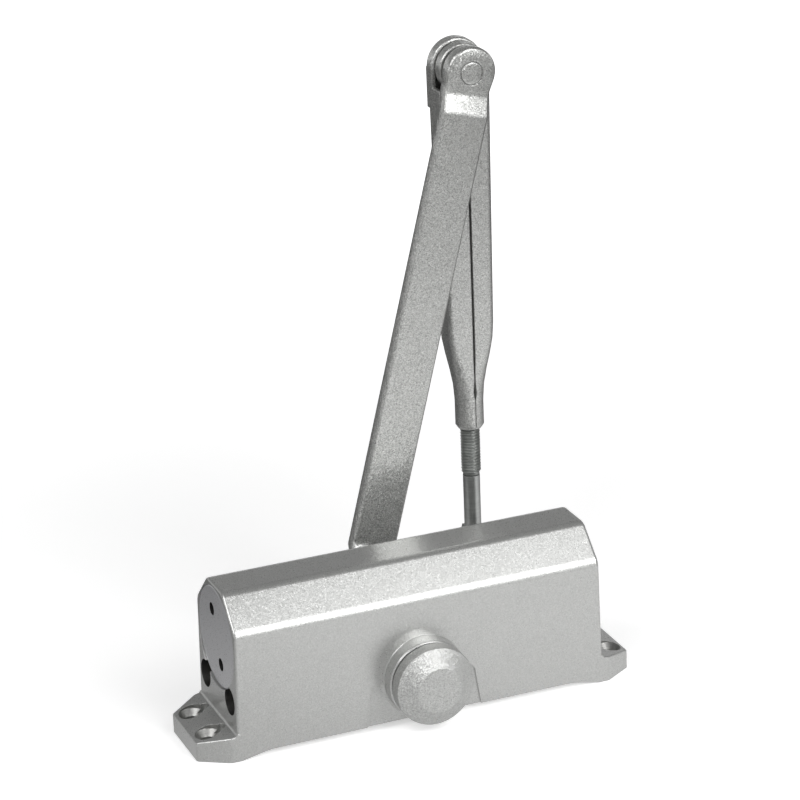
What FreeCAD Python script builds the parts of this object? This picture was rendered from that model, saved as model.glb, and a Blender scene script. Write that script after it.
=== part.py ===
import FreeCAD, Part
import math
import os

# Overhead door closer, in millimetres. The mounting face is Z = 0 and Z points away from it.
# X runs along the cylinder, with the regulating screws at the -X end. Y runs along the spindle:
# the covered spindle end is at -Y and the arm is at +Y. The origin is the centre of the holes.

V = FreeCAD.Vector

# Housing
body_depth = 42.0
body_length = 149.5
body_height = 63.0
body_wall = 4.0
end_draft = 1.2
facet_round = 6.0
top_round = 5.0
end_round = 1.2
foot_length = 14.0
foot_root = 10.5
foot_tip = 7.4
foot_straight = 2.6
foot_end_width = 27.6
foot_round = 1.5
foot_edge_round = 0.7
foot_fillet = 0.5
pad_length = 15.5
ramp_length = 11.0
ramp_round = 30.0
relief_height = 2.3

# Mounting holes
hole_from_body = 7.75
hole_spacing_y = 19.0
screw_hole_radius = 2.75
screw_head_radius = 5.0
screw_seat = 7.8
notch_floor = 6.4
notch_width = 4.7
notch_reach = 7.0

# Spindle and its carriers
cross_bore_radius = 11.0
boss_radius = 15.8
boss_proud = 6.1
boss_fillet = 1.0
boss_chamfer = 0.5
recess_depth = 0.8
recess_below_spindle = 0.6
recess_top_half = 20.9
recess_foot_half = 23.8
journal_radius = 7.3
bearing_width = 8.0
seal_width = 3.2
ring_width = 1.2
ring_reach = 0.6
ring_wall = 2.0
square_side = 10.0
square_round = 0.8
square_stub = 3.5
screw_thread_radius = 3.0
screw_grip = 11.0
running_gap = 0.05
slip_gap = 0.3

# Rack and pinion
tooth_module = 1.8
tooth_count = 9
pressure_angle = math.radians(28.0)
tooth_backlash = 0.16
pinion_addendum = 1.6
pinion_dedendum = 1.9
rack_addendum = 1.5
rack_dedendum = 2.0
rack_teeth = 6
rack_into_bore = 2.8
flank_points = 5

# Piston, spring and end plugs
plug_flange_wall = 1.1
plug_flange = 3.2
plug_length = 10.2
plug_proud = 0.1
plug_thread_wall = 2.6
spanner_hole_radius = 2.5
spanner_hole_pitch = 10.6
spanner_hole_depth = 4.5
spanner_turn = 19.0
plug_groove = 1.6
oring_section = 0.7
piston_end = 11.0
piston_stop_gap = 0.4
piston_head = 14.0
piston_seal_width = 3.0
piston_seal_wall = 2.2
spring_wire = 2.0
spring_clearance = 1.4
spring_turns = 4.5
spring_closed_gap = 0.2
spring_sides = 8
spring_seat_thickness = 1.6
spring_seat_lip = 2.5
ball_radius = 2.4
ball_above_bore = 8.0

# Regulating screws
valve_from_side = 7.5
valve_below_bore = 20.5
valve_mouth_radius = 5.4
valve_mouth_depth = 7.0
valve_thread_radius = 3.5
valve_thread_length = 11.0
valve_slot = 1.0
valve_needle_length = 4.0
valve_groove_start = 3.0
valve_seal_section = 0.58
port_radius = 1.2
port_near_from_end = 24.0
port_far_from_end = 44.0

# Cover on the unused spindle end
cap_radius = 15.6
cap_neck_radius = 14.5
cap_neck = 1.1
cap_front = 12.3
cap_cone = 4.1
cap_face_radius = 8.9
cap_wall = 1.8
cap_spigot = 0.8
ring_behind_boss = 2.3

# Main arm
arm_lean = 14.9
arm_centres = 217.0
arm_width = 18.6
arm_thickness = 6.0
arm_edge_break = 1.0
arm_eye_start = 28.6
arm_shank_start = 42.3
arm_crank_low = 14.0
arm_crank_high = 27.0
elbow_set_back = 3.1
joggle_start = 15.4
joggle_end = 8.7
elbow_eye_radius = 10.0

# Elbow
rivet_radius = 4.5
washer_radius = 6.4
washer_thickness = 2.4
spacer_radius = 9.8
spacer_thickness = 4.6
spacer_hub = 0.9
ear_radius = 10.8
ear_round = 1.0
ear_depth = 5.4

# Forearm
forearm_wall = 1.6
forearm_width = 21.4
forearm_deep = 12.6
forearm_foot_width = 19.2
forearm_foot_deep = 12.2
forearm_corner = 2.4
forearm_cut = 7.5
taper_top = 126.0
taper_foot = 94.0
collar_radius = 5.7
collar_foot = 82.0
seam_width = 0.9
seam_offset = 0.4
seam_pinch = 104.0
seam_gape = 98.0
seam_gape_width = 1.3
seam_end = 94.5
seam_line = 0.4

# Adjusting rod
rod_radius = 3.95
rod_top = 190.0
thread_end = 62.0
shank_radius = 3.4
eye_radius = 7.6
eye_thickness = 6.4
eye_neck = 14.0

# Shoe
shoe_pin_height = 25.4
shoe_pin_radius = 3.0
shoe_length = 54.0
shoe_width = 18.0
shoe_plate = 4.5
shoe_hole_spacing = 38.0
shoe_hole_radius = 2.75
lug_thickness = 3.2
lug_radius = 7.8
clip_thickness = 0.8

# Places that follow from the sizes above
half_depth = body_depth / 2
half_length = body_length / 2
bore_room = min(half_depth, body_height / 3)
bore_height = body_height - bore_room
bore_radius = bore_room - body_wall
plug_flange_radius = bore_room - plug_flange_wall
plug_thread_radius = bore_room - plug_thread_wall
seat_cone = screw_head_radius - screw_hole_radius
hole_spacing_x = body_length + 2 * hole_from_body
foot_end = half_length + foot_length
boss_face = half_depth + boss_proud
draft_slope = math.tan(math.radians(end_draft))
top_half = half_depth * math.tan(math.radians(22.5))
facet_low = body_height - half_depth + top_half
ring_start = boss_face - ring_behind_boss
seal_start = ring_start - slip_gap - seal_width
bearing_start = seal_start - slip_gap - bearing_width
pinion_half_width = bearing_start - 2.0
plug_face = half_length - (body_height - foot_root) * draft_slope + plug_proud
plug_inner = plug_face - plug_length
valve_face = -half_length + valve_mouth_depth + 0.5
pitch_radius = tooth_module * tooth_count / 2
rack_line = bore_height - bore_radius + rack_into_bore
spindle_height = rack_line - pitch_radius
recess_top = spindle_height - recess_below_spindle
spring_radius = bore_radius - spring_wire - spring_clearance
check_valve_height = bore_height + ball_above_bore
valve_spread = bore_room - valve_from_side
valve_axis_height = bore_height - valve_below_bore
port_near = half_length - port_near_from_end
port_far = half_length - port_far_from_end
tooth_pitch = math.pi * tooth_module
lean = math.radians(arm_lean)
elbow_x = arm_centres * math.sin(lean)
elbow_z = spindle_height + arm_centres * math.cos(lean)
arm_eye_end = arm_eye_start + arm_thickness
elbow_eye_start = arm_shank_start + elbow_set_back
elbow_eye_end = elbow_eye_start + arm_thickness
spacer_start = elbow_eye_end + washer_thickness
spacer_end = spacer_start + spacer_thickness
ear_start = spacer_end + spacer_hub
ear_end = ear_start + ear_depth
forearm_y = ear_end - forearm_deep / 2
half_square = square_side / 2 + running_gap
SPINDLE = (0, spindle_height)
CYLINDER = (0, bore_height)
ELBOW = (elbow_x, elbow_z)
SHOE = (elbow_x, shoe_pin_height)


def at(axis, along, u, v):
    """The point at `along` on the axis, and at (u, v) on the other two axes in X, Y, Z order."""
    if axis == "x":
        return V(along, u, v)
    if axis == "y":
        return V(u, along, v)
    return V(u, v, along)


def round_bar(axis, centre, radius, start, end):
    """A cylinder along an axis, between two stations."""
    return Part.makeCylinder(radius, end - start, at(axis, start, *centre), at(axis, 1, 0, 0))


def ring(axis, centre, outer, inner, start, end):
    """A plain ring along an axis."""
    return round_bar(axis, centre, outer, start, end).cut(round_bar(axis, centre, inner, start - 1, end + 1))


def rounded_wire(corners, radii, place):
    """A closed outline through 2-D corners, each rounded by its own radius."""
    count = len(corners)
    starts, middles, ends = [], [], []
    for i in range(count):
        here = V(*corners[i])
        before = (V(*corners[i - 1]) - here).normalize()
        after = (V(*corners[(i + 1) % count]) - here).normalize()
        if radii[i] == 0:
            starts.append(here)
            middles.append(None)
            ends.append(here)
            continue
        half = before.getAngle(after) / 2
        run = radii[i] / math.tan(half)
        inward = (before + after).normalize()
        starts.append(here + before * run)
        middles.append(here + inward * (radii[i] / math.sin(half) - radii[i]))
        ends.append(here + after * run)
    edges = []
    for i in range(count):
        following = starts[(i + 1) % count]
        if middles[i] is not None:
            arc = Part.Arc(place(starts[i]), place(middles[i]), place(ends[i]))
            edges.append(arc.toShape())
        if ends[i].distanceToPoint(following) > 1e-6:
            edges.append(Part.makeLine(place(ends[i]), place(following)))
    return Part.Wire(edges)


def prism(axis, corners, radii, start, end):
    """A rounded outline pushed along an axis. One radius may stand for all corners."""
    if not isinstance(radii, (list, tuple)):
        radii = [radii] * len(corners)
    outline = rounded_wire(corners, radii, lambda p: at(axis, start, p.x, p.y))
    return Part.Face(outline).extrude(at(axis, end - start, 0, 0))


def turned(axis, centre, profile, radii=0):
    """A profile of (radius, station) corners turned about an axis."""
    if not isinstance(radii, (list, tuple)):
        radii = [radii] * len(profile)
    outline = rounded_wire(profile, radii, lambda p: at(axis, p.y, centre[0] + p.x, centre[1]))
    return Part.Face(outline).revolve(at(axis, 0, *centre), at(axis, 1, 0, 0), 360)


def mirrored(shape, normal):
    """The shape and its mirror image through the origin plane, as a pair."""
    return [shape, shape.mirror(V(0, 0, 0), normal)]


def fused(shapes):
    """One solid from several that touch or overlap."""
    return shapes[0].fuse(shapes[1:]).removeSplitter()


def edges_where(shape, test):
    """The edges of a shape whose middle point passes a test."""
    chosen = []
    for edge in shape.Edges:
        first, last = edge.ParameterRange
        if test(edge.valueAt((first + last) / 2), edge):
            chosen.append(edge)
    return chosen


def make_housing():
    """The cast body: drafted half-octagon, two feet, two bosses and all the bores."""
    section = [(-half_depth, 0), (half_depth, 0), (half_depth, facet_low), (top_half, body_height),
               (-top_half, body_height), (-half_depth, facet_low)]
    body = prism("x", section, [0, 0, facet_round, top_round, top_round, facet_round],
                 -half_length - 1, half_length + 1)
    lean_in = (body_height - foot_root) * draft_slope
    lean_out = foot_root * draft_slope
    sides = [(-half_length - lean_out, 0), (half_length + lean_out, 0),
             (half_length - lean_in, body_height), (-half_length + lean_in, body_height)]
    body = body.common(prism("y", sides, 0, -half_depth, half_depth))
    end_edges = edges_where(body, lambda p, e: abs(p.x) > half_length - lean_in - 0.1 and p.z > foot_root)
    body = body.makeFillet(end_round, end_edges)

    plan = [(0, -half_depth), (half_length + foot_straight, -half_depth), (foot_end, -foot_end_width / 2),
            (foot_end, foot_end_width / 2), (half_length + foot_straight, half_depth), (0, half_depth)]
    foot = prism("z", plan, [0, foot_round, foot_round, foot_round, foot_round, 0], 0, foot_root + 2)
    fall = (foot_root - foot_tip) / foot_length
    slope = [(0, 0), (foot_end + 1, 0), (foot_end + 1, foot_tip), (foot_end, foot_tip),
             (half_length + foot_fillet, foot_root - foot_fillet * fall), (half_length, foot_root + foot_fillet),
             (0, foot_root + foot_fillet)]
    foot = foot.common(prism("y", slope, 0, -half_depth - 1, half_depth + 1))
    outer_edges = edges_where(foot, lambda p, e: p.z > foot_tip - 0.5 and p.x > half_length + 0.5
                              and (p.x > foot_end - 0.5 or abs(p.y) > foot_end_width / 2 - 0.5))
    foot = foot.makeFillet(foot_edge_round, outer_edges)

    boss_start = half_depth - recess_depth - 1.0
    boss_foot = half_depth - recess_depth
    boss_profile = [(0, boss_start), (boss_radius + boss_fillet, boss_start),
                    (boss_radius + boss_fillet, boss_foot), (boss_radius, boss_foot + boss_fillet),
                    (boss_radius, boss_face - boss_chamfer), (boss_radius - boss_chamfer, boss_face), (0, boss_face)]
    boss = turned("y", SPINDLE, boss_profile, [0, 0, 0, boss_fillet * 0.6, 0, 0, 0])
    recess = prism("y", [(-recess_foot_half, -1), (recess_foot_half, -1), (recess_top_half, recess_top),
                         (-recess_top_half, recess_top)], [0, 0, 2.5, 2.5], half_depth - recess_depth,
                   half_depth + 1)
    housing = fused([body] + mirrored(foot, V(1, 0, 0)))
    for cut in mirrored(recess, V(0, 1, 0)):
        housing = housing.cut(cut)
    housing = fused([housing] + mirrored(boss, V(0, 1, 0)))

    # The underside touches only at the feet, and is relieved between them
    pad_inner = foot_end - pad_length
    ramp_end = pad_inner - ramp_length
    relief = [(-pad_inner, 0), (-ramp_end, relief_height), (ramp_end, relief_height), (pad_inner, 0),
              (pad_inner + 1, -body_height), (-pad_inner - 1, -body_height)]
    housing = housing.cut(prism("y", relief, [0, ramp_round, ramp_round, 0, 0, 0], -body_depth, body_depth))

    # Cylinder, plug threads, spindle bore and the circlip grooves
    cuts = [round_bar("x", CYLINDER, bore_radius, -plug_inner, plug_inner),
            round_bar("y", SPINDLE, cross_bore_radius, -boss_face - 1, boss_face + 1)]
    flange_start = plug_face - plug_flange
    thread = round_bar("x", CYLINDER, plug_thread_radius + running_gap, plug_inner, flange_start)
    flange_seat = round_bar("x", CYLINDER, plug_flange_radius + running_gap, flange_start, half_length + 2)
    cuts += mirrored(thread, V(1, 0, 0)) + mirrored(flange_seat, V(1, 0, 0))
    groove = round_bar("y", SPINDLE, cross_bore_radius + ring_reach, ring_start - running_gap,
                       ring_start + ring_width + running_gap)
    cuts += mirrored(groove, V(0, 1, 0))

    # Screw seats with a notch towards the body
    for side_x in (-1, 1):
        for side_y in (-1, 1):
            centre = (side_x * hole_spacing_x / 2, side_y * hole_spacing_y / 2)
            cuts.append(turned("z", centre, [
                (0, -1), (screw_hole_radius, -1), (screw_hole_radius, screw_seat - seat_cone),
                (screw_head_radius, screw_seat), (screw_head_radius, foot_root + 2), (0, foot_root + 2)]))
            reach = centre[0] - side_x * notch_reach
            low, high = sorted((centre[0], reach))
            notch = [(low, centre[1] - notch_width / 2), (high, centre[1] - notch_width / 2),
                     (high, centre[1] + notch_width / 2), (low, centre[1] + notch_width / 2)]
            rounds = [2, 0, 0, 2] if side_x > 0 else [0, 2, 2, 0]
            cuts.append(prism("z", notch, rounds, notch_floor, foot_root + 2))

    # Regulating screw holes in the left end, each with two oil ports up into the cylinder
    for side_y in (-1, 1):
        centre = (side_y * valve_spread, valve_axis_height)
        mouth_end = -half_length + valve_mouth_depth
        thread_stop = mouth_end + valve_thread_length + 1.0
        cuts.append(round_bar("x", centre, valve_mouth_radius, -half_length - 2, mouth_end))
        cuts.append(round_bar("x", centre, valve_thread_radius + running_gap, mouth_end - 1, thread_stop))
        cuts.append(round_bar("x", centre, port_radius, thread_stop - 1, -port_far))
        for port_x in (-port_near, -port_far):
            port_top = bore_height - math.sqrt(bore_radius ** 2 - valve_spread ** 2) + 2
            cuts.append(round_bar("z", (port_x, centre[0]), port_radius, valve_axis_height, port_top))
    for cut in cuts:
        housing = housing.cut(cut)
    return housing.removeSplitter()


def make_end_plug():
    """The +X plug: a flange flush in the end face, a threaded body and an O-ring groove."""
    flange_start = plug_face - plug_flange
    plug = turned("x", CYLINDER, [
        (0, plug_inner + slip_gap), (plug_thread_radius - 1, plug_inner + slip_gap),
        (plug_thread_radius, plug_inner + slip_gap + 1), (plug_thread_radius, flange_start),
        (plug_flange_radius, flange_start), (plug_flange_radius, plug_face - 0.5),
        (plug_flange_radius - 0.5, plug_face), (0, plug_face)])
    groove_x = flange_start - plug_groove
    plug = plug.cut(ring("x", CYLINDER, plug_thread_radius + 1, plug_thread_radius - 2 * oring_section,
                         groove_x - oring_section - running_gap, groove_x + oring_section + running_gap))
    for turn in (spanner_turn, spanner_turn + 180):
        angle = math.radians(turn)
        centre = (spanner_hole_pitch * math.sin(angle), bore_height + spanner_hole_pitch * math.cos(angle))
        hole_start = plug_face - spanner_hole_depth
        plug = plug.cut(round_bar("x", centre, spanner_hole_radius, hole_start, plug_face + 1))
    return plug


def oring(axis, centre, outer, section, station):
    """An O-ring lying in its groove, its round section drawn with eight sides."""
    profile = []
    for i in range(8):
        angle = math.radians(45 * i + 22.5)
        profile.append((outer - section + section * math.cos(angle), station + section * math.sin(angle)))
    return turned(axis, centre, profile)


def make_plug_seal():
    groove_x = plug_face - plug_flange - plug_groove
    return oring("x", CYLINDER, plug_thread_radius, oring_section, groove_x)


def involute_angle(base_radius, radius):
    """How far an involute has swung round when it reaches a radius."""
    roll = math.sqrt((radius / base_radius) ** 2 - 1)
    return roll - math.atan(roll)


def pinion_outline(place):
    """The whole pinion outline, with involute flanks and a gap at the top, facing the rack."""
    base_radius = pitch_radius * math.cos(pressure_angle)
    tip_radius = pitch_radius + pinion_addendum
    root_radius = pitch_radius - pinion_dedendum
    flank_foot = max(base_radius * 1.001, root_radius)
    half_tooth = (tooth_pitch - tooth_backlash) / 4 / pitch_radius
    half_at_base = half_tooth + involute_angle(base_radius, pitch_radius)
    flank = []
    for i in range(flank_points):
        radius = flank_foot + (tip_radius - flank_foot) * i / (flank_points - 1)
        flank.append((radius, half_at_base - involute_angle(base_radius, radius)))
    half_foot = flank[0][1]
    step = 2 * math.pi / tooth_count

    def polar(radius, angle):
        return place(V(radius * math.sin(angle), radius * math.cos(angle), 0))

    edges = []
    for tooth in range(tooth_count):
        middle = (tooth + 0.5) * step
        left = [polar(radius, middle - half) for radius, half in flank]
        right = [polar(radius, middle + half) for radius, half in reversed(flank)]
        root_left = polar(root_radius, middle - half_foot)
        root_right = polar(root_radius, middle + half_foot)
        next_left = polar(root_radius, middle + step - half_foot)
        rising = Part.BSplineCurve()
        rising.interpolate(left)
        falling = Part.BSplineCurve()
        falling.interpolate(right)
        edges += [Part.makeLine(root_left, left[0]), rising.toShape(),
                  Part.Arc(left[-1], polar(tip_radius, middle), right[0]).toShape(), falling.toShape(),
                  Part.makeLine(right[-1], root_right),
                  Part.Arc(root_right, polar(root_radius, middle + step / 2), next_left).toShape()]
    return Part.Wire(edges)


def make_pinion_spindle():
    """Spindle with the pinion in its middle, two journals and a square at each end."""
    collar = journal_radius + 1
    collar_end = bearing_start - slip_gap
    core = pitch_radius - pinion_dedendum
    shaft_end = boss_face + 0.3
    shoulder = turned("y", SPINDLE, [
        (0, -shaft_end), (journal_radius, -shaft_end), (journal_radius, -collar_end), (collar, -collar_end),
        (collar, -pinion_half_width), (core, -pinion_half_width), (core, pinion_half_width),
        (collar, pinion_half_width), (collar, collar_end), (journal_radius, collar_end),
        (journal_radius, shaft_end), (0, shaft_end)])

    def place(p):
        return V(p.x, -pinion_half_width, spindle_height + p.y)

    pinion = Part.Face(pinion_outline(place)).extrude(V(0, 2 * pinion_half_width, 0))
    half = square_side / 2
    corners = [(-half, spindle_height - half), (half, spindle_height - half),
               (half, spindle_height + half), (-half, spindle_height + half)]
    squares = [prism("y", corners, square_round, boss_face, arm_eye_end - 0.3),
               prism("y", corners, square_round, -boss_face - square_stub, -boss_face)]
    turn = FreeCAD.Rotation(V(0, 1, 0), arm_lean)
    for square in squares:
        square.Placement = FreeCAD.Placement(V(0, 0, 0), turn, V(0, 0, spindle_height))
    spindle = shoulder.fuse([pinion] + squares)
    hole_end = arm_eye_end - screw_grip
    return spindle.cut(round_bar("y", SPINDLE, screw_thread_radius + running_gap, hole_end - 1, arm_eye_end + 1))


def make_bearing():
    """The +Y bearing ring, pressed into the cross bore."""
    inner = journal_radius + running_gap
    outer = cross_bore_radius - running_gap
    end = bearing_start + bearing_width
    return turned("y", SPINDLE, [(inner, bearing_start), (outer, bearing_start), (outer, end - 0.5),
                                 (outer - 0.5, end), (inner, end)])


def make_spindle_seal():
    """The +Y lip seal."""
    outer = cross_bore_radius - running_gap
    lip = journal_radius + running_gap
    return turned("y", SPINDLE, [(outer - 1.2, seal_start), (outer, seal_start), (outer, seal_start + seal_width),
                                 (lip + 0.8, seal_start + seal_width), (lip, seal_start + seal_width * 0.6),
                                 (lip + 0.9, seal_start + 0.9), (outer - 1.2, seal_start + 0.9)])


def make_retaining_ring():
    """The +Y circlip: a split ring with an ear at each side of the gap."""
    outer = cross_bore_radius + ring_reach - running_gap
    inner = outer - ring_wall
    end = ring_start + ring_width
    clip = ring("y", SPINDLE, outer, inner, ring_start, end)
    ears = prism("y", [(-2.4, spindle_height - inner - 0.5), (2.4, spindle_height - inner - 0.5),
                       (2.0, spindle_height - inner + 1.3), (-2.0, spindle_height - inner + 1.3)],
                 0.5, ring_start, end)
    gap = prism("y", [(-0.8, spindle_height - outer - 1), (0.8, spindle_height - outer - 1),
                      (0.8, spindle_height - inner + 3), (-0.8, spindle_height - inner + 3)], 0,
                ring_start - 1, end + 1)
    return clip.fuse(ears).cut(gap)


def make_spindle_cap():
    """The turned cover on the boss at -Y, hollow over the square end, with a conical front."""
    back = -boss_face - running_gap
    rim_back = -boss_face - cap_neck
    rim_front = -half_depth - cap_front
    face = rim_front - cap_cone
    spigot_outer = cross_bore_radius - running_gap
    spigot_inner = spigot_outer - 1.0
    inside = cap_radius - cap_wall
    profile = [(0, face), (cap_face_radius, face), (cap_radius - 0.3, rim_front), (cap_radius, rim_front + 0.3),
               (cap_radius, rim_back), (cap_neck_radius, rim_back), (cap_neck_radius, back),
               (spigot_outer, back), (spigot_outer, back + cap_spigot), (spigot_inner, back + cap_spigot),
               (spigot_inner, rim_back - 1.0), (inside, rim_back - 1.0), (inside, rim_front + 0.6),
               (cap_face_radius, face + cap_wall), (0, face + cap_wall)]
    return turned("y", SPINDLE, profile)


def make_arm_washer():
    return ring("y", SPINDLE, 8.2, screw_thread_radius + 0.2, arm_eye_end + running_gap, arm_eye_end + 1.6)


def make_arm_screw():
    """Socket-head screw that pulls the arm onto its square."""
    head_start = arm_eye_end + 1.6
    screw = turned("y", SPINDLE, [
        (0, arm_eye_end - screw_grip + 0.5), (screw_thread_radius - 0.5, arm_eye_end - screw_grip + 0.5),
        (screw_thread_radius, arm_eye_end - screw_grip + 1), (screw_thread_radius, head_start), (5, head_start),
        (5, head_start + 4.5), (4.5, head_start + 5), (0, head_start + 5)])
    socket = [(2.9 * math.sin(math.radians(60 * i)), spindle_height + 2.9 * math.cos(math.radians(60 * i)))
              for i in range(6)]
    return screw.cut(prism("y", socket, 0, head_start + 2.2, head_start + 6))


def make_main_arm():
    """Flat bar, modelled upright over the spindle and then leaned to its rest angle."""
    crank_low = spindle_height + arm_crank_low
    crank_high = spindle_height + arm_crank_high
    elbow = spindle_height + arm_centres
    stations = [(arm_eye_start, spindle_height - 14), (arm_eye_end, spindle_height - 14),
                (arm_eye_end, crank_low - 1.4), (arm_shank_start + arm_thickness, crank_high - 1.4),
                (arm_shank_start + arm_thickness, elbow - joggle_start), (elbow_eye_end, elbow - joggle_end),
                (elbow_eye_end, elbow + 14), (elbow_eye_start, elbow + 14),
                (elbow_eye_start, elbow - joggle_end), (arm_shank_start, elbow - joggle_start),
                (arm_shank_start, crank_high), (arm_eye_start, crank_low)]
    bends = [0, 0, 5, 2, 5, 6, 0, 0, 6, 5, 5, 2]
    side = prism("x", stations, bends, -12, 12)
    half = arm_width / 2
    eye = arm_width / 2 + 1.6
    plan = [(-eye, spindle_height), (-eye, spindle_height - eye), (eye, spindle_height - eye),
            (eye, spindle_height), (half, crank_low + 2), (half, elbow - 6), (elbow_eye_radius, elbow - 1),
            (elbow_eye_radius, elbow + elbow_eye_radius), (-elbow_eye_radius, elbow + elbow_eye_radius),
            (-elbow_eye_radius, elbow - 1), (-half, elbow - 6), (-half, crank_low + 2)]
    rounds = [0, eye, eye, 0, 6, 6, 3, elbow_eye_radius, elbow_eye_radius, 3, 6, 6]
    front = prism("y", plan, rounds, arm_eye_start - 2, elbow_eye_end + 2)
    arm = side.common(front)

    def on_outline(middle, edge):
        faces = [face for face in arm.Faces if any(edge.isSame(other) for other in face.Edges)]
        normals = [face.normalAt(*face.Surface.parameter(middle)) for face in faces]
        return normals[0].getAngle(normals[1]) > math.radians(60)

    arm = arm.makeChamfer(arm_edge_break, edges_where(arm, on_outline))
    square = [(-half_square, spindle_height - half_square), (half_square, spindle_height - half_square),
              (half_square, spindle_height + half_square), (-half_square, spindle_height + half_square)]
    arm = arm.cut(prism("y", square, square_round, arm_eye_start - 1, arm_eye_end + 1))
    arm = arm.cut(round_bar("y", (0, elbow), rivet_radius + running_gap, elbow_eye_start - 1, elbow_eye_end + 1))
    turn = FreeCAD.Rotation(V(0, 1, 0), arm_lean)
    arm.Placement = FreeCAD.Placement(V(0, 0, 0), turn, V(0, 0, spindle_height))
    return arm


def make_elbow_rivet():
    """Flush in the arm's eye, through the spacer, with a head behind the forearm's ear."""
    shank = rivet_radius
    return turned("y", ELBOW, [
        (0, elbow_eye_start - 0.3), (shank - 0.6, elbow_eye_start - 0.3), (shank, elbow_eye_start + 0.4),
        (shank, ear_end + 0.1), (shank + 2.2, ear_end + 0.1), (shank + 2.2, ear_end + 0.7),
        (shank, ear_end + 1.7), (0, ear_end + 1.9)])


def make_elbow_washer():
    inner = rivet_radius + running_gap
    return ring("y", ELBOW, washer_radius, inner, elbow_eye_end + running_gap, spacer_start - running_gap)


def make_elbow_spacer():
    """Turned spacer whose hub fills the forearm's dished ear."""
    inner = rivet_radius + running_gap
    hub = washer_radius
    hub_end = ear_end - forearm_wall - slip_gap / 2
    return turned("y", ELBOW, [
        (inner, spacer_start), (spacer_radius - 0.5, spacer_start), (spacer_radius, spacer_start + 0.5),
        (spacer_radius, spacer_end - 0.5), (spacer_radius - 0.5, spacer_end), (hub, spacer_end),
        (hub, hub_end), (inner, hub_end)])


def rounded_section(width, deep, corner, z):
    """A rounded rectangle across the forearm at one height."""
    w = width / 2
    d = deep / 2
    corners = [(elbow_x - w, forearm_y - d), (elbow_x + w, forearm_y - d),
               (elbow_x + w, forearm_y + d), (elbow_x - w, forearm_y + d)]
    return rounded_wire(corners, [corner] * 4, lambda p: V(p.x, p.y, z))


def forearm_loft(inset, top, foot):
    """The tapering tube from its top to its collar, `inset` inside the outer surface."""
    sections = [(top, forearm_width, forearm_deep, forearm_corner),
                (taper_top, forearm_foot_width, forearm_foot_deep, forearm_corner)]
    steps = 5
    round_width = 2 * collar_radius
    for i in range(1, steps + 1):
        share = (1 - math.cos(math.pi * i / steps)) / 2
        width = forearm_foot_width + (round_width - forearm_foot_width) * share
        deep = forearm_foot_deep + (round_width - forearm_foot_deep) * share
        corner = forearm_corner + (collar_radius - 0.1 - forearm_corner) * share
        sections.append((taper_top + (taper_foot - taper_top) * i / steps, width, deep, corner))
    wires = []
    for z, width, deep, corner in sections:
        if z >= foot:
            wires.append(rounded_section(width - 2 * inset, deep - 2 * inset, corner - inset, z))
    return Part.makeLoft(wires, True, True)


def make_forearm():
    """Folded tube with an open seam at the front, a dished ear at the top and a threaded collar."""
    top = elbow_z - 4
    outer = forearm_loft(0, top, taper_foot)
    collar = turned("z", (elbow_x, forearm_y), [
        (0, collar_foot), (collar_radius - 1, collar_foot), (collar_radius, collar_foot + 1.5),
        (collar_radius, taper_foot + 0.5), (0, taper_foot + 0.5)])
    ear = turned("y", ELBOW, [(0, ear_start), (ear_radius, ear_start), (ear_radius, ear_end), (0, ear_end)],
                 [0, ear_round, ear_round, 0])
    web_half = forearm_width / 2
    web = prism("y", [(elbow_x - web_half, elbow_z - 16), (elbow_x + web_half, elbow_z - 16),
                      (elbow_x + ear_radius, elbow_z), (elbow_x - ear_radius, elbow_z)], 0, ear_start, ear_end)
    cut_height = elbow_z - forearm_cut
    trim = Part.makeBox(2 * forearm_width, forearm_deep, 2 * forearm_width,
                        V(elbow_x - forearm_width, ear_start - forearm_deep, cut_height))
    body = outer.cut(trim).fuse([collar, ear, web])

    hollow = forearm_loft(forearm_wall, top + 1, taper_foot + 5)
    hollow_web = prism("y", [
        (elbow_x - web_half + forearm_wall, elbow_z - 17), (elbow_x + web_half - forearm_wall, elbow_z - 17),
        (elbow_x + ear_radius - forearm_wall, elbow_z), (elbow_x - ear_radius + forearm_wall, elbow_z)], 0,
        ear_start - 1, ear_end - forearm_wall)
    hollow_ear = round_bar("y", ELBOW, ear_radius - forearm_wall, ear_start - 1, ear_end - forearm_wall)
    half_widths = [(elbow_z, seam_width / 2), (seam_pinch + 8, seam_width / 2), (seam_pinch, seam_line / 2),
                   (seam_gape, seam_gape_width / 2), (seam_end, seam_line / 4)]
    seam_x = elbow_x + seam_offset
    seam_edge = [(seam_x + half, z) for z, half in half_widths]
    seam_edge += [(seam_x - half, z) for z, half in reversed(half_widths)]
    seam = prism("y", seam_edge, 0, forearm_y - forearm_deep, forearm_y - rod_radius)
    fold_line = Part.makeBox(seam_line, forearm_deep / 2, seam_end - collar_foot + 2,
                             V(seam_x - seam_line / 2, forearm_y - collar_radius + 0.5 - forearm_deep / 2,
                               collar_foot - 1))
    scallop = round_bar("y", ELBOW, spacer_radius + slip_gap, ear_start - forearm_deep, ear_start)
    cuts = [hollow, hollow_web, hollow_ear, seam, fold_line, scallop,
            round_bar("z", (elbow_x, forearm_y), rod_radius + running_gap, collar_foot - 1, taper_top),
            round_bar("y", ELBOW, rivet_radius + running_gap, ear_start, ear_end + 1)]
    for cut in cuts:
        body = body.cut(cut)
    return body.removeSplitter()


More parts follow.
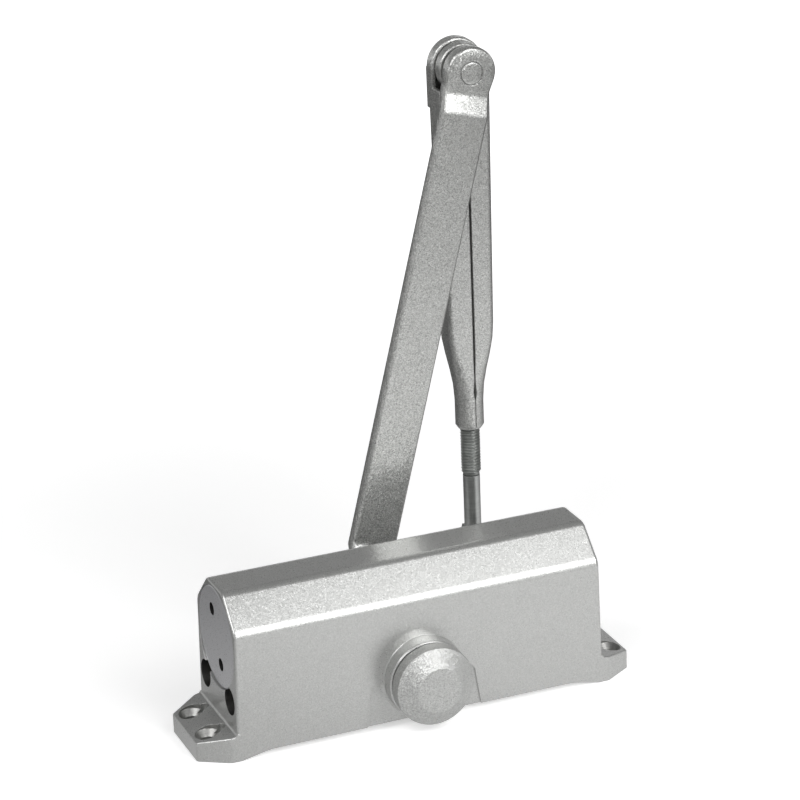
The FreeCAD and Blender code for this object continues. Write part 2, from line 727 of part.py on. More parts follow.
def make_adjusting_rod():
    """Threaded rod with a plain shank and a flattened eye on the shoe pin."""
    rod = turned("z", (elbow_x, forearm_y), [
        (0, shoe_pin_height), (shank_radius, shoe_pin_height), (shank_radius, thread_end),
        (rod_radius, thread_end + 0.6), (rod_radius, rod_top - 1), (rod_radius - 1, rod_top), (0, rod_top)])
    half = eye_thickness / 2
    eye = round_bar("y", SHOE, eye_radius, forearm_y - half, forearm_y + half)
    wide = eye_radius * 0.8
    neck_top = shoe_pin_height + eye_neck
    neck = prism("y", [(elbow_x - wide, shoe_pin_height), (elbow_x + wide, shoe_pin_height),
                       (elbow_x + shank_radius, neck_top), (elbow_x - shank_radius, neck_top)],
                 0, forearm_y - half, forearm_y + half)
    hole = round_bar("y", SHOE, shoe_pin_radius + running_gap, forearm_y - 10, forearm_y + 10)
    return fused([rod, eye, neck]).cut(hole)


def make_shoe_bracket():
    """Base plate with rounded ends, two screw holes and two lugs for the pin."""
    half = shoe_length / 2
    wide = shoe_width / 2
    corners = [(elbow_x - half, forearm_y - wide), (elbow_x + half, forearm_y - wide),
               (elbow_x + half, forearm_y + wide), (elbow_x - half, forearm_y + wide)]
    plate = prism("z", corners, wide * 0.7, 0, shoe_plate)
    solids = [plate]
    inner = eye_thickness / 2 + slip_gap
    foot = lug_radius + 2
    for side in (-1, 1):
        low, high = sorted((forearm_y + side * inner, forearm_y + side * (inner + lug_thickness)))
        solids.append(prism("y", [
            (elbow_x - foot, shoe_plate / 2), (elbow_x + foot, shoe_plate / 2),
            (elbow_x + lug_radius, shoe_pin_height), (elbow_x + lug_radius, shoe_pin_height + lug_radius),
            (elbow_x - lug_radius, shoe_pin_height + lug_radius), (elbow_x - lug_radius, shoe_pin_height)],
            [0, 0, 0, lug_radius, lug_radius, 0], low, high))
    bracket = fused(solids)
    bracket = bracket.cut(round_bar("y", SHOE, shoe_pin_radius + running_gap, forearm_y - shoe_width,
                                   forearm_y + shoe_width))
    for side in (-1, 1):
        centre = (elbow_x + side * shoe_hole_spacing / 2, forearm_y)
        bracket = bracket.cut(round_bar("z", centre, shoe_hole_radius, -1, shoe_plate + 1))
    return bracket


def make_shoe_pin():
    """Headed pin, with a groove for its clip at the far end."""
    reach = eye_thickness / 2 + slip_gap + lug_thickness
    near = forearm_y - reach
    far = forearm_y + reach
    pin = turned("y", SHOE, [
        (0, near - 1.3), (shoe_pin_radius + 0.9, near - 1.3), (shoe_pin_radius + 1.3, near - 0.9),
        (shoe_pin_radius + 1.3, near - running_gap), (shoe_pin_radius, near - running_gap),
        (shoe_pin_radius, far + 0.3), (shoe_pin_radius - 0.6, far + 0.3),
        (shoe_pin_radius - 0.6, far + 0.4 + clip_thickness), (shoe_pin_radius, far + 0.4 + clip_thickness),
        (shoe_pin_radius, far + 1.4), (0, far + 1.4)])
    return pin


def make_shoe_pin_clip():
    far = forearm_y + eye_thickness / 2 + slip_gap + lug_thickness
    clip = ring("y", SHOE, shoe_pin_radius + 1.8, shoe_pin_radius - 0.5, far + 0.35, far + 0.35 + clip_thickness)
    mouth = shoe_pin_radius - 0.9
    gap = prism("y", [(elbow_x - mouth, shoe_pin_height), (elbow_x + mouth, shoe_pin_height),
                      (elbow_x + mouth, shoe_pin_height - 8), (elbow_x - mouth, shoe_pin_height - 8)], 0,
                far - 1, far + 3)
    return clip.cut(gap)


def make_piston():
    """Piston with a rack on its underside, a seal groove and a check valve in its head."""
    start = -plug_inner + slip_gap + piston_stop_gap
    fit = bore_radius - running_gap
    piston = turned("x", CYLINDER, [
        (0, start), (fit - 1, start), (fit, start + 1), (fit, piston_end - 0.6), (fit - 0.6, piston_end),
        (0, piston_end)])
    flat = rack_line - rack_addendum
    rack_start = -(rack_teeth - 0.5) * tooth_pitch
    piston = piston.cut(Part.makeBox(piston_end - rack_start + 1, 2 * bore_radius, bore_radius,
                                     V(rack_start, -bore_radius, flat - bore_radius)))
    root = rack_line + rack_dedendum
    slope = math.tan(pressure_angle)
    gap_half = (tooth_pitch + tooth_backlash) / 2 / 2
    for tooth in range(rack_teeth):
        middle = (0.5 - tooth) * tooth_pitch
        low = gap_half + (rack_line - flat + 1) * slope
        high = gap_half - (root - rack_line) * slope
        gap = [(middle - low, flat - 1), (middle + low, flat - 1), (middle + high, root), (middle - high, root)]
        piston = piston.cut(prism("y", gap, 0, -bore_radius, bore_radius))
    recess_radius = bore_radius - 5.5
    piston = piston.cut(round_bar("x", CYLINDER, recess_radius, piston_end - 6, piston_end + 1))
    groove_start = start + 4
    piston = piston.cut(ring("x", CYLINDER, bore_radius + 1, fit - piston_seal_wall - running_gap,
                             groove_start - running_gap, groove_start + piston_seal_width + running_gap))
    valve = (0, check_valve_height)
    piston = piston.cut(round_bar("x", valve, 1.4, start - 1, start + piston_head))
    piston = piston.cut(round_bar("x", valve, ball_radius + 0.4, start + 3, start + piston_head))
    return piston.cut(round_bar("x", valve, 1.4, start + piston_head - 1, piston_end + 1))


def make_piston_seal():
    start = -plug_inner + slip_gap + piston_stop_gap + 4
    outer = bore_radius - running_gap
    inner = outer - piston_seal_wall + running_gap
    return turned("x", CYLINDER, [(inner, start), (outer, start), (outer, start + 1), (outer - 0.6, start + 1.5),
                                  (outer, start + 2), (outer, start + piston_seal_width),
                                  (inner, start + piston_seal_width)])


def make_check_valve_ball():
    start = -plug_inner + slip_gap + piston_stop_gap
    return Part.makeSphere(ball_radius, V(start + 3 + ball_radius + 0.1, 0, check_valve_height))


def make_check_valve_seat():
    """Slotted stop that keeps the ball in the piston head."""
    end = -plug_inner + slip_gap + piston_stop_gap + piston_head
    return ring("x", (0, check_valve_height), ball_radius + 0.35, 1.0, end - 4, end - running_gap)


def make_spring_seat():
    """Dished washer between the spring and the right plug."""
    outer = bore_radius - 0.5
    inner = spring_radius - spring_wire - slip_gap
    face = plug_inner + slip_gap - running_gap
    return turned("x", CYLINDER, [
        (inner - spring_seat_thickness, face - spring_seat_thickness - spring_seat_lip),
        (inner, face - spring_seat_thickness - spring_seat_lip), (inner, face - spring_seat_thickness),
        (outer, face - spring_seat_thickness), (outer, face), (inner - spring_seat_thickness, face)])


def make_closing_spring():
    """Compression spring with closed ends, along the cylinder between the piston and its seat."""
    reach = spring_wire * math.cos(math.pi / spring_sides)
    start = piston_end + running_gap + reach
    end = plug_inner + slip_gap - spring_seat_thickness - 2 * running_gap - reach
    closed = 2 * spring_wire + spring_closed_gap
    active = end - start - 2 * closed
    stretches = [(0, closed, 1.0, 0.0), (closed, active, spring_turns, 0.0),
                 (closed + active, closed, 1.0, 360 * spring_turns)]
    edges = []
    for begin, run, turns, phase in stretches:
        helix = Part.makeHelix(run / turns, run, spring_radius)
        helix.rotate(V(0, 0, 0), V(0, 0, 1), phase)
        helix.translate(V(0, 0, begin))
        edges += helix.Edges
    climb = math.atan(closed / (2 * math.pi * spring_radius))
    section = []
    for i in range(spring_sides + 1):
        angle = 2 * math.pi * (i % spring_sides + 0.5) / spring_sides
        outwards = spring_radius + spring_wire * math.cos(angle)
        along = spring_wire * math.sin(angle)
        section.append(V(outwards, -along * math.sin(climb), along * math.cos(climb)))
    sweep = Part.BRepOffsetAPI.MakePipeShell(Part.Wire(edges))
    sweep.setBiNormalMode(V(0, 0, 1))
    sweep.add(Part.makePolygon(section))
    sweep.build()
    sweep.makeSolid()
    coil = sweep.shape()
    coil.rotate(V(0, 0, 0), V(0, 1, 0), 90)
    coil.translate(V(start, 0, bore_height))
    return coil


def make_valve_screw(side_y):
    """Regulating screw with a slot facing out of the left end and a needle at its tip."""
    centre = (side_y * valve_spread, valve_axis_height)
    groove = valve_face + valve_groove_start
    groove_end = groove + 1.6
    groove_radius = valve_thread_radius - 2 * valve_seal_section - running_gap
    thread_stop = valve_face + valve_thread_length - valve_needle_length
    tip = thread_stop + valve_needle_length
    screw = turned("x", centre, [
        (0, valve_face), (valve_thread_radius - 0.4, valve_face), (valve_thread_radius, valve_face + 0.4),
        (valve_thread_radius, groove), (groove_radius, groove), (groove_radius, groove_end),
        (valve_thread_radius, groove_end), (valve_thread_radius, thread_stop), (0.5, tip), (0, tip)])
    slot_corner = V(valve_face - 0.1, centre[0] - valve_thread_radius - 1, valve_axis_height - valve_slot / 2)
    slot = Part.makeBox(1.4, 2 * valve_thread_radius + 2, valve_slot, slot_corner)
    return screw.cut(slot)


def make_valve_seal(side_y):
    centre = (side_y * valve_spread, valve_axis_height)
    return oring("x", centre, valve_thread_radius, valve_seal_section, valve_face + valve_groove_start + 0.8)


def write(name, solids):
    """Write one node, from one solid or from a group of separate solids."""
    shape = solids[0] if len(solids) == 1 else Part.makeCompound(solids)
    shape.exportStep("parts/" + name + ".step")


os.makedirs("parts", exist_ok=True)

plug = make_end_plug()
bearing = make_bearing()
write("housing", [make_housing()])
write("end_plug_right", [plug])
write("end_plug_left", [plug.mirror(V(0, 0, 0), V(1, 0, 0))])
write("plug_seals", mirrored(make_plug_seal(), V(1, 0, 0)))
write("spindle_bearing_rear", [bearing])
write("spindle_bearing_front", [bearing.mirror(V(0, 0, 0), V(0, 1, 0))])
write("spindle_seals", mirrored(make_spindle_seal(), V(0, 1, 0)))
write("retaining_rings", mirrored(make_retaining_ring(), V(0, 1, 0)))
write("spindle_cap", [make_spindle_cap()])
write("pinion_spindle", [make_pinion_spindle()])
write("arm_washer", [make_arm_washer()])
write("arm_screw", [make_arm_screw()])
write("main_arm", [make_main_arm()])
write("elbow_rivet", [make_elbow_rivet()])
write("elbow_washer", [make_elbow_washer()])
write("elbow_spacer", [make_elbow_spacer()])
write("forearm", [make_forearm()])
write("adjusting_rod", [make_adjusting_rod()])
write("shoe_bracket", [make_shoe_bracket()])
write("shoe_pin", [make_shoe_pin()])
write("shoe_pin_clip", [make_shoe_pin_clip()])
write("piston", [make_piston()])
write("piston_seal", [make_piston_seal()])
write("check_valve_ball", [make_check_valve_ball()])
write("check_valve_seat", [make_check_valve_seat()])
write("spring_seat", [make_spring_seat()])
write("closing_spring", [make_closing_spring()])
write("closing_speed_valve", [make_valve_screw(-1)])
write("latching_speed_valve", [make_valve_screw(1)])
write("closing_valve_seal", [make_valve_seal(-1)])
write("latching_valve_seal", [make_valve_seal(1)])
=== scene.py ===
import math

import bmesh
import bpy
from mathutils import Matrix, Vector


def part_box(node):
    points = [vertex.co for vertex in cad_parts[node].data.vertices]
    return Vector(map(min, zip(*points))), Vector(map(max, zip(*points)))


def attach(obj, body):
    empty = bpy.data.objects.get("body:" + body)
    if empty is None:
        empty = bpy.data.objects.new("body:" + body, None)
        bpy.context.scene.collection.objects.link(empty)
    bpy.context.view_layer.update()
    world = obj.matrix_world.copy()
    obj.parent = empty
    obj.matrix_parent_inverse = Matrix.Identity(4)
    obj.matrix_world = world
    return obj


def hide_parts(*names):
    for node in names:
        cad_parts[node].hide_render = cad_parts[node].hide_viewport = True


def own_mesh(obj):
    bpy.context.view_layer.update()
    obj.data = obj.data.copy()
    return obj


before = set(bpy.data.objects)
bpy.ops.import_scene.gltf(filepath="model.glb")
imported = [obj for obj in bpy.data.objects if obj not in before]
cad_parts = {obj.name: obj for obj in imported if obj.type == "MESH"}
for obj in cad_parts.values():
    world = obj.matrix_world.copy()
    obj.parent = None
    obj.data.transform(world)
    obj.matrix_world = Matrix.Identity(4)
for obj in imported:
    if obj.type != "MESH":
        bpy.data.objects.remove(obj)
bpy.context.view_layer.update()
scene = bpy.context.scene
scene.view_settings.view_transform = "Standard"

# The camera stands to the left of the closer and a little above it. A long lens from over a metre away
# keeps the body's long edges almost parallel.
camera_azimuth = math.radians(21.568)
camera_elevation = math.radians(20.827)
camera_roll = math.radians(-2.305)
camera_distance = 1.2015
camera_side = -0.0015
camera_height = 0.1148
focal_pixels = 3125.1
image_pixels = 800
sensor_width = 36.0

towards_camera = Vector((
    -math.sin(camera_azimuth) * math.cos(camera_elevation),
    -math.cos(camera_azimuth) * math.cos(camera_elevation),
    math.sin(camera_elevation)))
camera_turn = towards_camera.to_track_quat("Z", "Y").to_matrix() @ Matrix.Rotation(camera_roll, 3, "Z")
camera_data = bpy.data.cameras.new("camera")
camera_data.lens = focal_pixels / image_pixels * sensor_width
camera_data.sensor_width = sensor_width
camera = bpy.data.objects.new("camera", camera_data)
camera.matrix_world = camera_turn.to_4x4()
camera.location = camera_turn @ Vector((camera_side, camera_height, camera_distance))
scene.collection.objects.link(camera)
scene.camera = camera

# The studio floor is a pale matt board. The camera sees it lifted towards white, so only the soft shadow
# under the closer is left on it. Mirror rays see a painted pool of light glowing before the closer, and
# the board round it painted darker than it is, which puts painted shade in the reflections.
floor_reach = 6.0
floor_drop = 0.0003
floor_near = 0.15
floor_far = 0.8
floor_lift = 0.42
full_white = 1.0
# The pool is a painted pool of light: the board glows there for mirror rays only, though no lamp lights it.
painted_pool_place = (0.10, -0.21, 0)
painted_pool_near = 0.12
painted_pool_far = 0.46
painted_pool_glow = 0.9
board_white = 0.85
# Mirror rays see the board this dark: painted shade in the reflections, not the board's own colour.
mirrored_board_painted_dark = 0.12
floor_mesh = bpy.data.meshes.new("floor")
floor_build = bmesh.new()
bmesh.ops.create_grid(floor_build, x_segments=1, y_segments=1, size=floor_reach)
floor_build.to_mesh(floor_mesh)
floor_build.free()
floor = bpy.data.objects.new("floor", floor_mesh)
floor.location.z = -floor_drop
scene.collection.objects.link(floor)


def socket_maker(nodes, links):
    """A short way to add a maths node whose inputs are numbers or sockets."""
    def maths(operation, *values):
        node = nodes.new("ShaderNodeMath")
        node.operation = operation
        for socket, value in zip(node.inputs, values):
            if isinstance(value, (int, float)):
                socket.default_value = value
            else:
                links.new(value, socket)
        return node.outputs[0]
    return maths


def graded(nodes, links, value, first, last, near=0.0, far=1.0, soft=False):
    """A level that runs from the first to the last while a value goes from near to far."""
    node = nodes.new("ShaderNodeMapRange")
    node.interpolation_type = "SMOOTHSTEP" if soft else "LINEAR"
    for label, level in (("From Min", near), ("From Max", far), ("To Min", first), ("To Max", last)):
        node.inputs[label].default_value = level
    links.new(value, node.inputs["Value"])
    return node.outputs["Result"]


pale_board = bpy.data.materials.new("pale_board")
pale_board.use_nodes = True
board_nodes = pale_board.node_tree.nodes
board_links = pale_board.node_tree.links
board_maths = socket_maker(board_nodes, board_links)
board_shader = board_nodes["Principled BSDF"]
board_shader.inputs["Roughness"].default_value = 0.9
board_shader.inputs["Specular IOR Level"].default_value = 0.2
board_shader.inputs["Emission Color"].default_value = (1, 1, 1, 1)
board_path = board_nodes.new("ShaderNodeLightPath")
camera_ray = board_path.outputs["Is Camera Ray"]
glossy_ray = board_path.outputs["Is Glossy Ray"]
transmission_ray = board_path.outputs["Is Transmission Ray"]
# The board's own grey for the camera, and a painted darker grey for mirror rays as painted shade.
board_grey_with_painted_shade = graded(board_nodes, board_links, glossy_ray, board_white, mirrored_board_painted_dark)
board_links.new(board_grey_with_painted_shade, board_shader.inputs["Base Color"])
board_place = board_nodes.new("ShaderNodeTexCoord")
board_far = board_nodes.new("ShaderNodeVectorMath")
board_far.operation = "LENGTH"
board_links.new(board_place.outputs["Object"], board_far.inputs[0])
board_lift = graded(board_nodes, board_links, board_far.outputs["Value"], floor_lift, full_white,
                    near=floor_near, far=floor_far, soft=True)
painted_pool_from = board_nodes.new("ShaderNodeVectorMath")
painted_pool_from.operation = "DISTANCE"
painted_pool_from.inputs[1].default_value = painted_pool_place
board_links.new(board_place.outputs["Object"], painted_pool_from.inputs[0])
# The painted pool of light, a glow that fades with distance from its place.
painted_pool = graded(board_nodes, board_links, painted_pool_from.outputs["Value"], painted_pool_glow, 0.0,
              near=painted_pool_near, far=painted_pool_far, soft=True)
board_painted_pool = board_maths("MULTIPLY", board_maths("MAXIMUM", glossy_ray, transmission_ray), painted_pool)
# The lift towards white for the camera, plus the painted pool's glow for mirror rays.
board_lift_and_painted_pool = board_maths("MULTIPLY_ADD", camera_ray, board_lift, board_painted_pool)
board_links.new(board_lift_and_painted_pool, board_shader.inputs["Emission Strength"])
floor_mesh.materials.append(pale_board)

# The surround is white at the horizon and grey overhead, and dimmer as a light than where it is seen or
# mirrored. Two soft boxes stand at the front right and one at the left. A small one hangs low over the
# floor, which throws its light back on the closer's front.
surround_light = 0.68
backdrop_white = 1.0
ceiling_grey = 0.22
horizon_height = 0.12
ceiling_height = 0.3
world = bpy.data.worlds.new("studio")
world.use_nodes = True
scene.world = world
world_nodes = world.node_tree.nodes
world_links = world.node_tree.links
world_maths = socket_maker(world_nodes, world_links)
surround = world_nodes["Background"]
world_place = world_nodes.new("ShaderNodeTexCoord")
world_height = world_nodes.new("ShaderNodeSeparateXYZ")
world_links.new(world_place.outputs["Generated"], world_height.inputs["Vector"])
world_shade = graded(world_nodes, world_links, world_height.outputs["Z"], backdrop_white, ceiling_grey,
                     near=horizon_height, far=ceiling_height, soft=True)
world_links.new(world_shade, surround.inputs["Color"])
world_path = world_nodes.new("ShaderNodeLightPath")
world_seen = world_maths("MAXIMUM", world_path.outputs["Is Camera Ray"], world_path.outputs["Is Glossy Ray"])
world_shown = world_maths("MAXIMUM", world_seen, world_path.outputs["Is Transmission Ray"])
world_strength = graded(world_nodes, world_links, world_shown, surround_light, full_white)
world_links.new(world_strength, surround.inputs["Strength"])


def soft_box(name, size, power, place, target):
    """A square soft lamp aimed at a point."""
    data = bpy.data.lights.new(name, "AREA")
    data.shape = "SQUARE"
    data.size = size
    data.energy = power
    lamp = bpy.data.objects.new(name, data)
    lamp.location = place
    lamp.rotation_euler = (Vector(place) - Vector(target)).to_track_quat("Z", "Y").to_euler()
    scene.collection.objects.link(lamp)


soft_box("key_box", size=0.8, power=4.8, place=(0.45, -0.85, 1.0), target=(0, 0, 0.06))
soft_box("front_box", size=0.7, power=5.8, place=(0.50, -1.15, 0.82), target=(0, 0, 0.1))
soft_box("left_box", size=0.9, power=9.0, place=(-0.85, -0.35, 1.05), target=(0, 0, 0.1))
soft_box("floor_box", size=0.3, power=0.78, place=(0.05, -0.32, 0.16), target=(0.05, -0.3201, 0))

# The housing is a die-cast aluminium body, sprayed with silver enamel whose metal flakes show as a grain.
# Its cylinder, cross bore and regulating holes are machined afterwards, and the four screw seats are cut
# through the enamel to bright metal.
enamel_flake = 0.00024
cylinder_height = 0.042
cylinder_reach = 0.0205
spindle_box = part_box("spindle_cap")
spindle_height = (spindle_box[0][2] + spindle_box[1][2]) / 2
cross_radius = 0.0122
regulating_axis = (0.0135, 0.0215)
regulating_radius = 0.0056
regulating_bottom = -0.055
regulating_mouth = -0.0732
mounting_holes = [(x, y) for x in (-0.0825, 0.0825) for y in (-0.0095, 0.0095)]
seat_radius = 0.00505
seat_above = 0.0001
wall_facing = 0.5
hole_facing = 0.4
seat_facing = 0.3
bore_index = 1
painted_shade_hole_index = 2
seat_index = 3
noise_middle = 0.5


def open_group(name, labels):
    """An empty node group with a colour, some numbers and a normal going in, and the finish coming out."""
    group = bpy.data.node_groups.new(name, "ShaderNodeTree")
    face = group.interface
    face.new_socket("Colour", in_out="INPUT", socket_type="NodeSocketColor")
    for label in labels:
        face.new_socket(label, in_out="INPUT", socket_type="NodeSocketFloat")
    face.new_socket("Normal", in_out="INPUT", socket_type="NodeSocketVector")
    face.new_socket("Colour", in_out="OUTPUT", socket_type="NodeSocketColor")
    face.new_socket("Roughness", in_out="OUTPUT", socket_type="NodeSocketFloat")
    face.new_socket("Normal", in_out="OUTPUT", socket_type="NodeSocketVector")
    given = group.nodes.new("NodeGroupInput")
    result = group.nodes.new("NodeGroupOutput")
    return group, given, result


def noise_at(nodes, links, place, scale, detail):
    """Soft noise over the whole piece."""
    node = nodes.new("ShaderNodeTexNoise")
    node.inputs["Scale"].default_value = scale
    node.inputs["Detail"].default_value = detail
    links.new(place.outputs["Object"], node.inputs["Vector"])
    return node.outputs["Fac"]


def make_flaked_enamel():
    """Metal flakes in a lacquer: each one is lighter or darker and lies at its own small angle."""
    coarse_density = 0.7
    coarse_share = 0.4
    drift_share = 0.05
    roughness_share = 0.1
    group, given, result = open_group(
        "flaked_enamel", ("Flake Size", "Contrast", "Roughness", "Tilt", "Peel"))
    nodes = group.nodes
    links = group.links
    maths = socket_maker(nodes, links)
    place = nodes.new("ShaderNodeTexCoord")
    fine = nodes.new("ShaderNodeTexVoronoi")
    coarse = nodes.new("ShaderNodeTexVoronoi")
    links.new(place.outputs["Object"], fine.inputs["Vector"])
    links.new(place.outputs["Object"], coarse.inputs["Vector"])
    density = maths("DIVIDE", 1.0, given.outputs["Flake Size"])
    links.new(density, fine.inputs["Scale"])
    links.new(maths("MULTIPLY", density, coarse_density), coarse.inputs["Scale"])
    flake = nodes.new("ShaderNodeMix")
    flake.data_type = "RGBA"
    flake.inputs["Factor"].default_value = coarse_share
    links.new(fine.outputs["Color"], flake.inputs["A"])
    links.new(coarse.outputs["Color"], flake.inputs["B"])
    shades = nodes.new("ShaderNodeSeparateColor")
    links.new(flake.outputs["Result"], shades.inputs["Color"])
    drift = noise_at(nodes, links, place, scale=60.0, detail=2.0)
    lighter = maths("SUBTRACT", shades.outputs["Red"], noise_middle)
    swing = maths("MULTIPLY", lighter, given.outputs["Contrast"])
    slow = maths("MULTIPLY", maths("SUBTRACT", drift, noise_middle), drift_share)
    scaled = nodes.new("ShaderNodeVectorMath")
    scaled.operation = "SCALE"
    links.new(given.outputs["Colour"], scaled.inputs[0])
    links.new(maths("ADD", maths("ADD", swing, slow), 1.0), scaled.inputs["Scale"])
    links.new(scaled.outputs["Vector"], result.inputs["Colour"])
    duller = maths("SUBTRACT", shades.outputs["Green"], noise_middle)
    uneven = maths("MULTIPLY", duller, roughness_share)
    links.new(maths("ADD", given.outputs["Roughness"], uneven), result.inputs["Roughness"])
    peel = noise_at(nodes, links, place, scale=420.0, detail=2.0)
    skin = nodes.new("ShaderNodeBump")
    skin.inputs["Strength"].default_value = 0.3
    skin.inputs["Distance"].default_value = 0.0001
    links.new(maths("MULTIPLY", peel, given.outputs["Peel"]), skin.inputs["Height"])
    links.new(given.outputs["Normal"], skin.inputs["Normal"])
    centred = nodes.new("ShaderNodeVectorMath")
    centred.operation = "SUBTRACT"
    centred.inputs[1].default_value = (noise_middle, noise_middle, noise_middle)
    links.new(flake.outputs["Result"], centred.inputs[0])
    lean = nodes.new("ShaderNodeVectorMath")
    lean.operation = "SCALE"
    links.new(centred.outputs["Vector"], lean.inputs[0])
    links.new(given.outputs["Tilt"], lean.inputs["Scale"])
    tilted = nodes.new("ShaderNodeVectorMath")
    tilted.operation = "ADD"
    links.new(skin.outputs["Normal"], tilted.inputs[0])
    links.new(lean.outputs["Vector"], tilted.inputs[1])
    even = nodes.new("ShaderNodeVectorMath")
    even.operation = "NORMALIZE"
    links.new(tilted.outputs["Vector"], even.inputs[0])
    links.new(even.outputs["Vector"], result.inputs["Normal"])
    return group


flaked_enamel = make_flaked_enamel()


def enamel(name, colour, roughness=0.31, metallic=0.75, contrast=0.3, tilt=0.15, flake=enamel_flake,
           edge=0.0004, coat=0.4):
    """Silver enamel over one kind of piece."""
    material = bpy.data.materials.new(name)
    material.use_nodes = True
    nodes = material.node_tree.nodes
    links = material.node_tree.links
    shader = nodes["Principled BSDF"]
    shader.inputs["Metallic"].default_value = metallic
    shader.inputs["Coat Weight"].default_value = coat
    shader.inputs["Coat Roughness"].default_value = 0.08
    rounding = nodes.new("ShaderNodeBevel")
    rounding.samples = 6
    rounding.inputs["Radius"].default_value = edge
    flaked = nodes.new("ShaderNodeGroup")
    flaked.node_tree = flaked_enamel
    flaked.inputs["Colour"].default_value = (*colour, 1)
    for label, value in (("Flake Size", flake), ("Contrast", contrast), ("Roughness", roughness),
                         ("Tilt", tilt), ("Peel", 0.02)):
        flaked.inputs[label].default_value = value
    links.new(rounding.outputs["Normal"], flaked.inputs["Normal"])
    for label, socket in (("Colour", "Base Color"), ("Roughness", "Roughness"), ("Normal", "Normal")):
        links.new(flaked.outputs[label], shader.inputs[socket])
    links.new(rounding.outputs["Normal"], shader.inputs["Coat Normal"])
    return material


def make_cutting_marks():
    """Fine rings that a cutting tool leaves round an axis, with a little tarnish."""
    ring_share = 0.35
    tarnish_share = 0.4
    roughness_share = 0.3
    group, given, result = open_group(
        "cutting_marks", ("Axis X", "Axis Y", "Axis Z", "Pitch", "Roughness", "Depth"))
    nodes = group.nodes
    links = group.links
    maths = socket_maker(nodes, links)
    place = nodes.new("ShaderNodeTexCoord")
    axis = nodes.new("ShaderNodeCombineXYZ")
    for label in ("X", "Y", "Z"):
        links.new(given.outputs["Axis " + label], axis.inputs[label])
    along = nodes.new("ShaderNodeVectorMath")
    along.operation = "DOT_PRODUCT"
    links.new(place.outputs["Object"], along.inputs[0])
    links.new(axis.outputs["Vector"], along.inputs[1])
    rings = nodes.new("ShaderNodeTexNoise")
    rings.noise_dimensions = "1D"
    rings.inputs["Scale"].default_value = 1.0
    rings.inputs["Detail"].default_value = 3.0
    links.new(maths("DIVIDE", along.outputs["Value"], given.outputs["Pitch"]), rings.inputs["W"])
    tarnish = noise_at(nodes, links, place, scale=260.0, detail=4.0)
    ring_shade = maths("MULTIPLY", maths("SUBTRACT", rings.outputs["Fac"], noise_middle), ring_share)
    tarnish_shade = maths("MULTIPLY", maths("SUBTRACT", tarnish, noise_middle), tarnish_share)
    shade = maths("ADD", ring_shade, tarnish_shade)
    scaled = nodes.new("ShaderNodeVectorMath")
    scaled.operation = "SCALE"
    links.new(given.outputs["Colour"], scaled.inputs[0])
    links.new(maths("ADD", shade, 1.0), scaled.inputs["Scale"])
    links.new(scaled.outputs["Vector"], result.inputs["Colour"])
    uneven = maths("MULTIPLY", shade, roughness_share)
    links.new(maths("ADD", given.outputs["Roughness"], uneven), result.inputs["Roughness"])
    relief = nodes.new("ShaderNodeBump")
    relief.inputs["Distance"].default_value = 0.00006
    links.new(given.outputs["Depth"], relief.inputs["Strength"])
    links.new(rings.outputs["Fac"], relief.inputs["Height"])
    links.new(given.outputs["Normal"], relief.inputs["Normal"])
    links.new(relief.outputs["Normal"], result.inputs["Normal"])
    return group


cutting_marks = make_cutting_marks()


def cut_metal(name, colour, axis, roughness, pitch=0.0002, depth=0.3):
    """Metal turned, drilled or ground round one axis."""
    material = bpy.data.materials.new(name)
    material.use_nodes = True
    nodes = material.node_tree.nodes
    links = material.node_tree.links
    shader = nodes["Principled BSDF"]
    shader.inputs["Metallic"].default_value = 1.0
    rounding = nodes.new("ShaderNodeBevel")
    rounding.samples = 4
    rounding.inputs["Radius"].default_value = 0.0002
    marks = nodes.new("ShaderNodeGroup")
    marks.node_tree = cutting_marks
    marks.inputs["Colour"].default_value = (*colour, 1)
    for label, value in zip(("Axis X", "Axis Y", "Axis Z"), axis):
        marks.inputs[label].default_value = value
    for label, value in (("Pitch", pitch), ("Roughness", roughness), ("Depth", depth)):
        marks.inputs[label].default_value = value
    links.new(rounding.outputs["Normal"], marks.inputs["Normal"])
    for label, socket in (("Colour", "Base Color"), ("Roughness", "Roughness"), ("Normal", "Normal")):
        links.new(marks.outputs[label], shader.inputs[socket])
    return material


def finish_piece(build, name, materials):
    """A new object made from a finished bmesh."""
    mesh = bpy.data.meshes.new(name)
    build.to_mesh(mesh)
    build.free()
    for material in materials:
        mesh.materials.append(material)
    piece = bpy.data.objects.new(name, mesh)
    scene.collection.objects.link(piece)
    return piece


def crease(build, sharp=32.0):
    """Smooth shading on the curves, with the edges that turn more sharply left crisp."""
    for surface in build.faces:
        surface.smooth = True
    for edge in build.edges:
        edge.smooth = len(edge.link_faces) == 2 and edge.calc_face_angle(0.0) < math.radians(sharp)


def merged_copy(node):
    """A node's mesh with its loose triangles joined."""
    build = bmesh.new()
    build.from_mesh(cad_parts[node].data)
    bmesh.ops.remove_doubles(build, verts=build.verts[:], dist=2e-6)
    bmesh.ops.dissolve_degenerate(build, edges=build.edges[:], dist=1e-6)
    for surface in build.faces:
        surface.material_index = 0
    return build


def stand_in(piece, node, body):
    """The finished piece takes a node's place and keeps even highlights on its flat faces."""
    weighted = piece.modifiers.new("even_faces", "WEIGHTED_NORMAL")
    weighted.keep_sharp = True
    weighted.weight = 100
    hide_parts(node)
    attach(piece, body)
    return piece


def towards_axis(surface, axis_point, across):
    """How squarely a face looks at an axis, how far from the axis it is, and its middle."""
    middle = surface.calc_center_median()
    away = Vector([middle[i] - axis_point[i] if i in across else 0.0 for i in range(3)])
    distance = away.length
    facing = -away.normalized().dot(surface.normal)
    return facing, distance, middle


